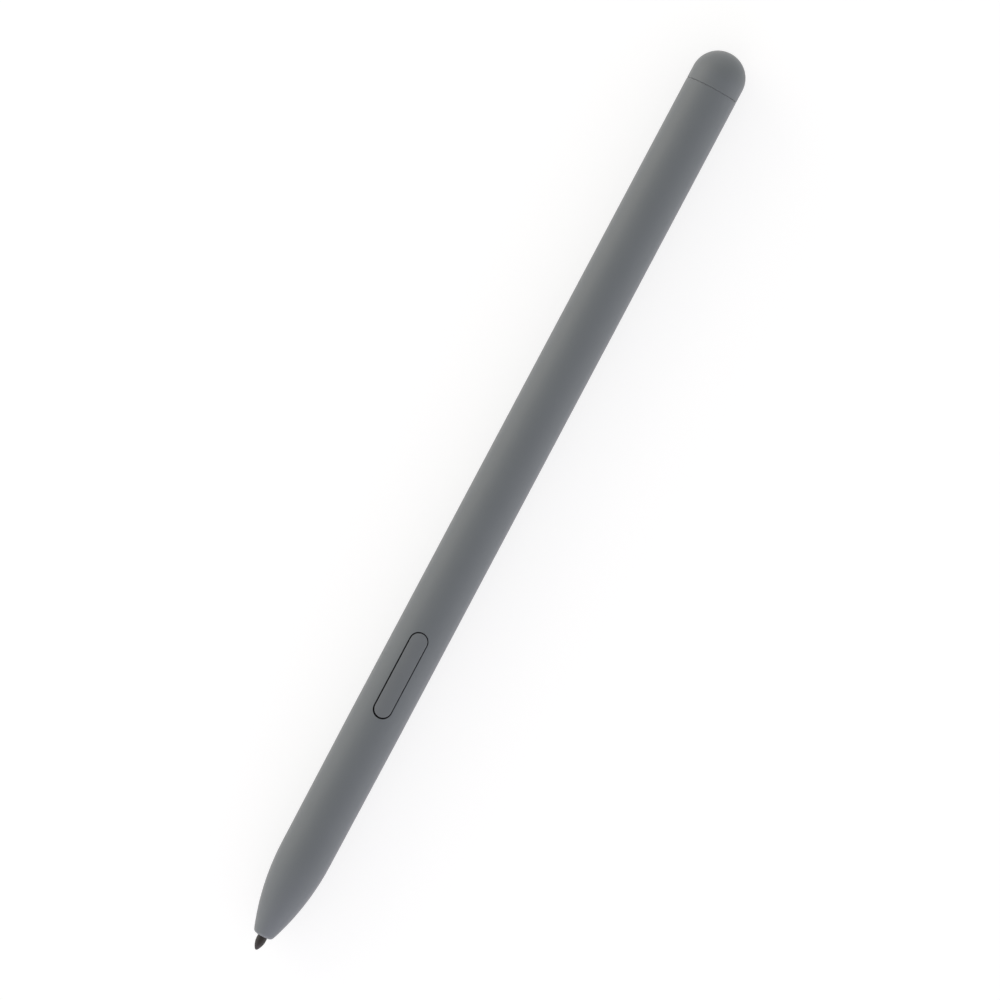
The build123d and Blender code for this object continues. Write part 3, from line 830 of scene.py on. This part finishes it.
# Slot for the side button: the tube's grid is opened and rebuilt in rings that follow the pill shape
def cutSlot(piece):
    middle = along(slotStation)
    columnAngle = 2 * math.pi / pen["segments"]
    wide = barrel["windowColumns"] * columnAngle
    bm = bmesh.new()
    bm.from_mesh(piece.data)
    inside = []
    for face in bm.faces:
        centre = face.calc_center_median()
        turn = math.atan2(centre.y, centre.z - above(0))
        if abs(centre.x - middle) < barrel["window"] * mm and abs(turn) < wide:
            inside.append(face)
    bmesh.ops.delete(bm, geom=inside, context="FACES")
    offsets = evenSteps(-barrel["window"], barrel["window"], barrel["windowSteps"])
    turns = [columnAngle * i for i in range(barrel["windowColumns"] - 1, -barrel["windowColumns"], -1)]
    loop = [(x, wide) for x in offsets] + [(offsets[-1], turn) for turn in turns]
    loop += [(x, -wide) for x in reversed(offsets)] + [(offsets[0], turn) for turn in reversed(turns)]
    halfway = len(offsets) // 2
    loop = loop[halfway:] + loop[:halfway]  # starts halfway along one side
    half = (slotLength - slotWidth) / 2
    reach = slotWidth / 2
    rays = [(x, 0, math.copysign(1, turn)) for x, turn in loop]
    for end in (1, -1):
        ending = [i for i, (x, turn) in enumerate(loop) if x * end > half]
        for order, i in enumerate(ending):
            turn = math.pi * (order + 1) / (len(ending) + 1)
            rays[i] = (half * end, end * math.sin(turn), end * math.cos(turn))
    soft = barrel["slotRound"]

    def ring(radius, share, grow, drop):
        points = []
        for (x, turn), ray in zip(loop, rays):
            target = pillPoint(ray, 1.0, reach + grow)
            flatX = x + (target[0] - x) * share
            flatY = radius * math.sin(turn) * (1 - share) + target[1] * share
            height = skinHeight(radius, flatY) - drop
            points.append((middle + flatX * mm, flatY * mm, above(height)))
        return points

    rings = [ring(pen["radius"], share, 2 * soft, 0) for share in barrel["skinShares"]]
    for turn in evenSteps(0, math.pi / 2, barrel["slotRoundSteps"]):
        rings.append(ring(pen["radius"], 1.0, soft * (1 - math.sin(turn)), soft * (1 - math.cos(turn))))
    rings += [ring(barrel["bore"], share, 0, 0) for share in barrel["boreShares"]]
    joinRings(bm, rings)
    return bm


# painted shade: the barrel's slot walls, bore and nib's hole get the near-black shade material
def barrelIsShaded(face, depth, outward):
    pastMouth = face.center.x > along(shellSpan["front"] + barrel["holeShadeStart"])
    return pastMouth and depth > pen["shadeDepth"] and outward < barrel["shadeTurn"]


barrelPiece = turnedPiece("barrelShell", barrelOutline(), "softTouch", pen["segments"], pen["flatBlend"])
smoothMesh(barrelPiece.data, cutSlot(barrelPiece))
shadeGapsInside(barrelPiece, barrelIsShaded)
seatPiece(barrelPiece, "barrel", "shell_plastic", "barrel")

# End cap: dome and collar outside, snap skirt inside the barrel
endCap = {
    "skirtRadius": 3.0,
    "skirtFlat": 2.6,
    "hollowRadius": 2.3,
    "hollowFlat": 1.9,
    "beadFoot": 0.25,
    "beadCrest": 0.13,
    "beadRadius": 3.12,
    "frontTurn": -0.99,  # faces that look straight at the barrel get the painted shade
    "hollowTurn": -0.2,  # as do walls that look inward
    "domeSteps": 48,
    "collarSteps": 5,
}


def endCapOutline():
    seam = shellSpan["rear"] + barrel["seamGap"]
    bead = shellSpan["rear"] - barrel["snapSetback"]
    skirtFront = span("end_cap")["front"]
    collarEnd = pen["length"] - pen["radius"]
    seamRound = barrel["seamRound"]
    dome = arcPoints((collarEnd, 0), pen["radius"], 0, math.pi / 2, endCap["domeSteps"])
    collarStations = evenSteps(collarEnd, seam + 2 * seamRound, endCap["collarSteps"])
    collar = [(station, pen["radius"]) for station in collarStations[1:]]
    corner = (seam + seamRound, pen["radius"] - seamRound)
    rounding = arcPoints(corner, seamRound, math.pi / 2, math.pi, barrel["seamRoundSteps"])
    skirt = [(seam, endCap["skirtRadius"])]
    skirt.append((bead + endCap["beadFoot"], endCap["skirtRadius"]))
    skirt.append((bead + endCap["beadCrest"], endCap["beadRadius"]))
    skirt.append((bead - endCap["beadCrest"], endCap["beadRadius"]))
    skirt.append((bead - endCap["beadFoot"], endCap["skirtRadius"]))
    skirt.append((skirtFront, endCap["skirtRadius"]))
    hollow = [(skirtFront, endCap["hollowRadius"])]
    hollow.append((collarEnd, endCap["hollowRadius"]))
    hollow.append((collarEnd, 0))
    outline = [(s, r, pen["flat"]) for s, r in dome + collar + rounding]
    outline += [(s, r, endCap["skirtFlat"]) for s, r in skirt]
    return outline + [(s, r, endCap["hollowFlat"]) for s, r in hollow]


# painted shade: the cap's skirt inside the barrel, its front face and its hollow get the near-black shade
# material
def capIsShaded(face, depth, outward):
    inBarrel = face.center.x < along(shellSpan["rear"])
    return inBarrel or face.normal.x < endCap["frontTurn"] or outward < endCap["hollowTurn"]


capPiece = turnedPiece("endCapShell", endCapOutline(), "softTouch", pen["segments"], pen["flatBlend"])
smoothMesh(capPiece.data)
shadeGapsInside(capPiece, capIsShaded)
seatPiece(capPiece, "barrel", "shell_plastic", "end_cap")

# Nib: round tip, ogive point, straight head and thin shaft
nib = {
    "tipRadius": 0.26,
    "pointLength": 1.7,
    "headStop": 0.6,  # head to the ferrite's front
    "headRound": 0.1,
    "shaftRadius": 0.45,
    "shaftChamfer": 0.15,
    "segments": 72,
    "lean": -0.07,  # sideways at the tip, within the play of its hole
    "tipSteps": 12,
    "pointSteps": 20,
    "headSteps": 6,
    "headRoundSteps": 4,
    "shaftSteps": 8,
}


def nibOutline():
    tip = nib["tipRadius"]
    head = span("nib")["half"]
    shaftEnd = span("nib")["rear"]
    headEnd = span("ferrite_core")["front"] - nib["headStop"]
    run = nib["pointLength"] - tip
    ogive = (run**2 + head**2 - tip**2) / (2 * (head - tip))
    lean = math.atan2(ogive - head, -run)
    headRound = nib["headRound"]
    chamfer = nib["shaftChamfer"]
    headStations = evenSteps(nib["pointLength"], headEnd - 2 * headRound, nib["headSteps"])
    corner = (headEnd - headRound, head - headRound)
    shaftStations = evenSteps(headEnd, shaftEnd - chamfer, nib["shaftSteps"])
    points = arcPoints((tip, 0), tip, math.pi, lean, nib["tipSteps"])
    points += arcPoints((nib["pointLength"], head - ogive), ogive, lean, math.pi / 2, nib["pointSteps"])[1:]
    points += [(station, head) for station in headStations[1:]]
    points += arcPoints(corner, headRound, math.pi / 2, 0, nib["headRoundSteps"])
    points += [(station, nib["shaftRadius"]) for station in shaftStations]
    points.append((shaftEnd, nib["shaftRadius"] - chamfer))
    points.append((shaftEnd, 0))
    return [(s, r, pen["noFlat"]) for s, r in points]


nibPiece = turnedPiece("nibPoint", nibOutline(), "nibAcetal", nib["segments"])
gripEnd = along(span("nib")["rear"])
for vertex in nibPiece.data.vertices:
    vertex.co.y += nib["lean"] * mm * (gripEnd - vertex.co.x) / (gripEnd - along(0))
smoothMesh(nibPiece.data)
seatPiece(nibPiece, "nib", "nib_plastic", "nib")

# Side button: crowned key, flange under the slot and the nub that meets the switch
sideButton = {
    "endGap": 0.22,  # between key and slot
    "sideGap": 0.16,
    "rest": (0.04, -0.03),  # the key leans to one corner of its slot by part of that gap
    "edgeRound": 0.04,
    "flangeRadius": 3.0,
    "flangeThickness": 0.4,
    "nubLength": 1.6,
    "nubWidth": 1.2,
    "sideSteps": 28,
    "arcSteps": 40,
    "crownShares": (0, 0.25, 0.5, 0.7, 0.85, 0.95, 1.0),  # rings from the key's middle line to its edge
    "edgeSteps": 5,
}


def buttonMesh():
    length = slotLength - 2 * sideButton["endGap"]
    width = slotWidth - 2 * sideButton["sideGap"]
    half = (length - width) / 2
    reach = width / 2
    soft = sideButton["edgeRound"]
    rays = [(x, 0, 1) for x in evenSteps(-half, half, sideButton["sideSteps"])]
    arc = evenSteps(0, math.pi, sideButton["arcSteps"])[1:-1]
    rays += [(half, math.sin(turn), math.cos(turn)) for turn in arc]
    rays += [(x, 0, -1) for x in evenSteps(half, -half, sideButton["sideSteps"])]
    rays += [(-half, -math.sin(turn), -math.cos(turn)) for turn in arc]
    middle = along(slotStation)

    def ring(stretch, distance, radius, drop=0.0, level=None, shift=(0, 0)):
        points = []
        for ray in rays:
            x, y = pillPoint(ray, stretch, distance)
            height = level if level is not None else skinHeight(radius, y) - drop
            points.append((middle + (x + shift[0]) * mm, (y + shift[1]) * mm, above(height)))
        return points

    crown = keySpan["top"]
    rest = sideButton["rest"]
    flangeRadius = sideButton["flangeRadius"]
    flangeReach = keySpan["half"]
    flangeStretch = ((keySpan["rear"] - keySpan["front"]) / 2 - flangeReach) / half
    flangeBottom = skinHeight(flangeRadius, flangeReach) - sideButton["flangeThickness"]
    nubReach = sideButton["nubWidth"] / 2
    nubStretch = (sideButton["nubLength"] / 2 - nubReach) / half
    nubBottom = keySpan["bottom"]
    rings = []
    for share in sideButton["crownShares"]:
        rings.append(ring(1.0, (reach - soft) * share, crown, shift=rest))
    for turn in evenSteps(0, math.pi / 2, sideButton["edgeSteps"])[1:]:
        inset = soft * (1 - math.sin(turn))
        drop = soft * (1 - math.cos(turn))
        rings.append(ring(1.0, reach - inset, crown, drop, shift=rest))
    rings.append(ring(1.0, reach, flangeRadius, shift=rest))
    rings.append(ring(flangeStretch, flangeReach, flangeRadius))
    rings.append(ring(flangeStretch, flangeReach, 0, level=flangeBottom))
    rings.append(ring(nubStretch, nubReach, 0, level=flangeBottom))
    rings.append(ring(nubStretch, nubReach, 0, level=nubBottom))
    rings.append(ring(nubStretch, 0, 0, level=nubBottom))
    bm = bmesh.new()
    joinRings(bm, rings)
    return bm


# painted shade: the key's flange and walls below the set depth get the near-black shade material
def keyIsShaded(face, depth, outward):
    return depth > pen["shadeDepth"]


buttonPiece = meshPiece("buttonKey", buttonMesh(), "satinKey")
shadeGapsInside(buttonPiece, keyIsShaded)
seatPiece(buttonPiece, "side_button", "button_plastic", "side_button")
print("outside pieces made")

# Soft pieces: moulded rings and pads with rounded edges
softPieces = {
    "edgeRound": 0.16,
    "thinEdgeRound": 0.12,
    "shaftHole": 0.6,
    "padFlat": 2.55,
    "rubberCrown": 0.25,
    "rubberEdge": 0.08,
    "segments": 96,
    "roundSteps": 5,
    "rubberEdgeSteps": 4,
    "rubberCrownSteps": 14,
}


def ringOutline(node, hole, soft):
    place = span(node)
    front, rear = place["front"] + soft, place["rear"] - soft
    outer, inner = place["half"] - soft, hole + soft
    points = []
    for quarter, corner in enumerate(((front, outer), (rear, outer), (rear, inner), (front, inner))):
        turn = math.pi * (1 - quarter / 2)
        points += arcPoints(corner, soft, turn, turn - math.pi / 2, softPieces["roundSteps"])
    return [(s, r, pen["noFlat"]) for s, r in points + points[:1]]


def padOutline(node, soft, flat):
    place = span(node)
    front, rear, outer = place["front"], place["rear"], place["half"]
    steps = softPieces["roundSteps"]
    points = [(front, 0), (front, outer / 2)]
    points += arcPoints((front + soft, outer - soft), soft, math.pi, math.pi / 2, steps)
    points += arcPoints((rear - soft, outer - soft), soft, math.pi / 2, 0, steps)
    points += [(rear, outer / 2), (rear, 0)]
    return [(s, r, flat) for s, r in points]


def rubberOutline():
    place = span("conductive_rubber")
    front, tip, outer = place["front"], place["rear"], place["half"]
    crown = softPieces["rubberCrown"]
    soft = softPieces["rubberEdge"]
    dome = (outer**2 + crown**2) / (2 * crown)
    corner = (front + soft, outer - soft)
    points = [(front, 0)]
    points += arcPoints(corner, soft, math.pi, math.pi / 2, softPieces["rubberEdgeSteps"])
    points += arcPoints((tip - dome, 0), dome, math.asin(outer / dome), 0, softPieces["rubberCrownSteps"])
    return [(s, r, pen["noFlat"]) for s, r in points]


softOutlines = {
    "noseDamper": ("nose_damper", ringOutline("nose_damper", barrel["nibHole"], softPieces["edgeRound"])),
    "shockAbsorber": (
        "shock_absorber",
        ringOutline("shock_absorber", softPieces["shaftHole"], softPieces["thinEdgeRound"]),
    ),
    "rearDamper": ("rear_damper", padOutline("rear_damper", softPieces["edgeRound"], softPieces["padFlat"])),
}
for name, (node, outline) in softOutlines.items():
    piece = turnedPiece(name, outline, "silicone", softPieces["segments"])
    smoothMesh(piece.data)
    seatPiece(piece, "barrel", "soft_rubber", node)
rubberPiece = turnedPiece("contactRubber", rubberOutline(), "carbonRubber", softPieces["segments"])
smoothMesh(rubberPiece.data)
seatPiece(rubberPiece, "nib_holder", "carbon_rubber", "conductive_rubber")
print("soft pieces made")

# Winding: an outer layer of fine wire over a plain core that stands for the layers below
winding = {
    "diameter": 0.12,
    "pitch": 0.128,  # leaves a hair between the turns
    "steps": 40,
    "sides": 8,
    "closing": 0.0,
    "coreSegments": 80,
}


def windingPiece():
    place = span("coil_winding")
    front, rear = place["front"], place["rear"]
    wireRadius = winding["diameter"] / 2
    layer = place["half"] - wireRadius
    inner = span("ferrite_core")["half"]
    start = front + wireRadius
    end = rear - wireRadius
    turns = math.floor((end - start) / winding["pitch"])
    wirePiece = woundPiece("windingWire", {**winding, "turns": turns}, start, end, layer, "copper")
    section = [(front, inner), (front, layer), (rear, layer), (rear, inner)]
    corePoints = [(s, r, pen["noFlat"]) for s, r in section + section[:1]]
    corePiece = turnedPiece("windingCore", corePoints, "copper", winding["coreSegments"])
    smoothMesh(wirePiece.data)
    smoothMesh(corePiece.data)
    bm = bmesh.new()
    bm.from_mesh(wirePiece.data)
    bm.from_mesh(corePiece.data)
    bm.to_mesh(wirePiece.data)
    bm.free()
    bpy.data.meshes.remove(corePiece.data)
    return wirePiece


seatPiece(windingPiece(), "barrel", "copper_wire", "coil_winding")

# Return spring: a wound coil, drawn at rest
spring = {
    "turns": 5,
    "steps": 64,
    "diameter": 0.18,
    "sides": 14,
    "closing": 0.55,  # its end turns lie close, as a wound spring's do
    "travel": travel["nib_press"],
}
springSpan = span("return_spring")
springWire = spring["diameter"] / 2
springPiece = woundPiece(
    "returnSpring", spring, springSpan["front"] + springWire, springSpan["rear"] - springWire,
    springSpan["half"] - springWire, "steel",
)
smoothMesh(springPiece.data)
seatPiece(springPiece, "barrel", "spring_steel", "return_spring")
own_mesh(springPiece)
print("wound pieces made")

# Snap dome of the switch: a thin pressed shell, drawn at rest
snapDome = {
    "thickness": 0.08,
    "segments": 72,
    "rows": 12,
    "travel": travel["switch_travel"],
}
domeSpan = span("switch_dome")
domeRise = domeSpan["top"] - domeSpan["bottom"]
domeMiddle = (domeSpan["front"] + domeSpan["rear"]) / 2


def domeMesh():
    rim = domeSpan["half"]
    outer = (rim**2 + domeRise**2) / (2 * domeRise)
    centre = domeSpan["top"] - outer
    innerRadius = outer - snapDome["thickness"]
    innerRim = math.sqrt(innerRadius**2 - (domeSpan["bottom"] - centre) ** 2)

    def ring(radius, height):
        spots = arcPoints((domeMiddle, 0), radius, 0, 2 * math.pi, snapDome["segments"])[:-1]
        return [(along(station), side * mm, above(height)) for station, side in spots]

    rings = []
    for radius in evenSteps(0, rim, snapDome["rows"]):
        rings.append(ring(radius, centre + skinHeight(outer, radius)))
    for radius in evenSteps(innerRim, 0, snapDome["rows"]):
        rings.append(ring(radius, centre + skinHeight(innerRadius, radius)))
    bm = bmesh.new()
    joinRings(bm, rings)
    return bm


domePiece = meshPiece("snapDome", domeMesh(), "steel")
seatPiece(domePiece, "barrel", "spring_steel", "switch_dome")
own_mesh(domePiece)

# Chip capacitors on the board
chips = {
    "endShare": 0.22,  # of the length, for each tinned end
    "bodyShare": 0.95,  # the ceramic stands this much inside the tinned ends
    "edgeRound": 0.035,
    "edgeSteps": 2,
}
chipNames = sorted(name for name in nodes if "capacitor" in name)


def chipPiece():
    base = bpy.data.meshes.new("chipCapacitors")
    boxes = [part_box(name) for name in chipNames]
    base.from_pydata([(low + high) / 2 for low, high in boxes], [], [])
    sizes = base.attributes.new("chipSize", "FLOAT_VECTOR", "POINT")
    sizes.data.foreach_set("vector", [value for low, high in boxes for value in high - low])
    values = {
        "End Share": chips["endShare"],
        "Body Share": chips["bodyShare"],
        "Material": materials["chipBody"],
        "End Material": materials["tin"],
    }
    piece = bakeTree("chipCapacitors", chipTree, base, values)
    bm = bmesh.new()
    bm.from_mesh(piece.data)
    bmesh.ops.bevel(
        bm, geom=bm.edges, offset=chips["edgeRound"] * mm, segments=chips["edgeSteps"], profile=0.5,
        affect="EDGES", material=-1,
    )
    smoothMesh(piece.data, bm)
    return piece


seatPiece(chipPiece(), "barrel", "chip_ceramic", *chipNames)
print("inner pieces made")

# Studio: pale floor, bright sides, dimmer ceiling, a soft lamp at the picture's left and one past the nose
studio = {
    "floorRadius": 3.0,  # metres, as the lamps' places and sizes
    "floorSegments": 96,
    "floorDrop": 0.02,  # millimetres, just clear of the resting flat
    "floorColour": "#a8a8a8",
    "floorLift": 0.73,  # share of white that the camera sees added to the floor
    "sides": 1.75,
    "sidesAlong": (1.15, 0.74),  # share of the side light beyond the nose and beyond the tail
    "ceiling": 0.42,
    "ceilingFrom": 0.8,  # upward part of a direction from which the ceiling is even
    "lamps": {
        "sideLamp": {"place": (0.16, 0.55, 0.12), "size": 0.45, "power": 1.1, "colour": "#ffefd6"},
        "noseLamp": {"place": (-0.6, -0.2, 0.1), "size": 0.4, "power": 1.0, "colour": "#ecd4ff"},
    },
}
floorData = bpy.data.meshes.new("studioFloor")
bm = bmesh.new()
bmesh.ops.create_circle(bm, cap_ends=True, segments=studio["floorSegments"], radius=studio["floorRadius"])
bm.to_mesh(floorData)
bm.free()
floorPiece = bpy.data.objects.new("studioFloor", floorData)
scene.collection.objects.link(floorPiece)
floorPiece.location.z = -studio["floorDrop"] * mm

floorMaterial = bpy.data.materials.new("paleSeamlessPaper")  # matte paper, plain white to the camera
floorMaterial.use_nodes = True
floorTree = floorMaterial.node_tree
floorShader = floorTree.nodes["Principled BSDF"]
floorShader.inputs["Base Color"].default_value = linear(studio["floorColour"])
floorShader.inputs["Roughness"].default_value = 1.0
floorShader.inputs["Specular IOR Level"].default_value = 0.0
floorShader.inputs["Emission Color"].default_value = (1, 1, 1, 1)
rayKinds = addNode(floorTree, "ShaderNodeLightPath").outputs
seen = rayKinds["Is Camera Ray"]
for kind in ("Is Glossy Ray", "Is Transmission Ray"):
    seen = addNode(floorTree, "ShaderNodeMath", {"operation": "MAXIMUM"}, {0: seen, 1: rayKinds[kind]})
lift = addNode(floorTree, "ShaderNodeMath", {"operation": "MULTIPLY"}, {0: seen, 1: studio["floorLift"]})
floorTree.links.new(lift.outputs[0], floorShader.inputs["Emission Strength"])
floorData.materials.append(floorMaterial)

world = bpy.data.worlds.new("studioLight")
scene.world = world
world.use_nodes = True
worldTree = world.node_tree
direction = addNode(worldTree, "ShaderNodeTexCoord").outputs["Generated"]
parts = addNode(worldTree, "ShaderNodeSeparateXYZ", None, {0: direction}).outputs
glow = addNode(
    worldTree, "ShaderNodeMapRange", None,
    {
        "Value": parts["Z"],
        "From Max": studio["ceilingFrom"],
        "To Min": studio["sides"],
        "To Max": studio["ceiling"],
    },
)
noseShare, tailShare = studio["sidesAlong"]
lengthwise = addNode(
    worldTree, "ShaderNodeMapRange", None,
    {"Value": parts["X"], "From Min": -1.0, "To Min": noseShare, "To Max": tailShare},
)
shaded = addNode(worldTree, "ShaderNodeMath", {"operation": "MULTIPLY"}, {0: glow, 1: lengthwise})
worldTree.links.new(shaded.outputs[0], worldTree.nodes["Background"].inputs["Strength"])
worldTree.nodes["Background"].inputs["Color"].default_value = (1, 1, 1, 1)

for name, settings in studio["lamps"].items():
    lampData = bpy.data.lights.new(name, "AREA")
    lampData.size = settings["size"]
    lampData.energy = settings["power"]
    lampData.color = linear(settings["colour"])[:3]
    lamp = bpy.data.objects.new(name, lampData)
    scene.collection.objects.link(lamp)
    lamp.location = settings["place"]
    lamp.rotation_mode = "QUATERNION"
    lamp.rotation_quaternion = (-lamp.location).to_track_quat("-Z", "Y")
print("studio made")
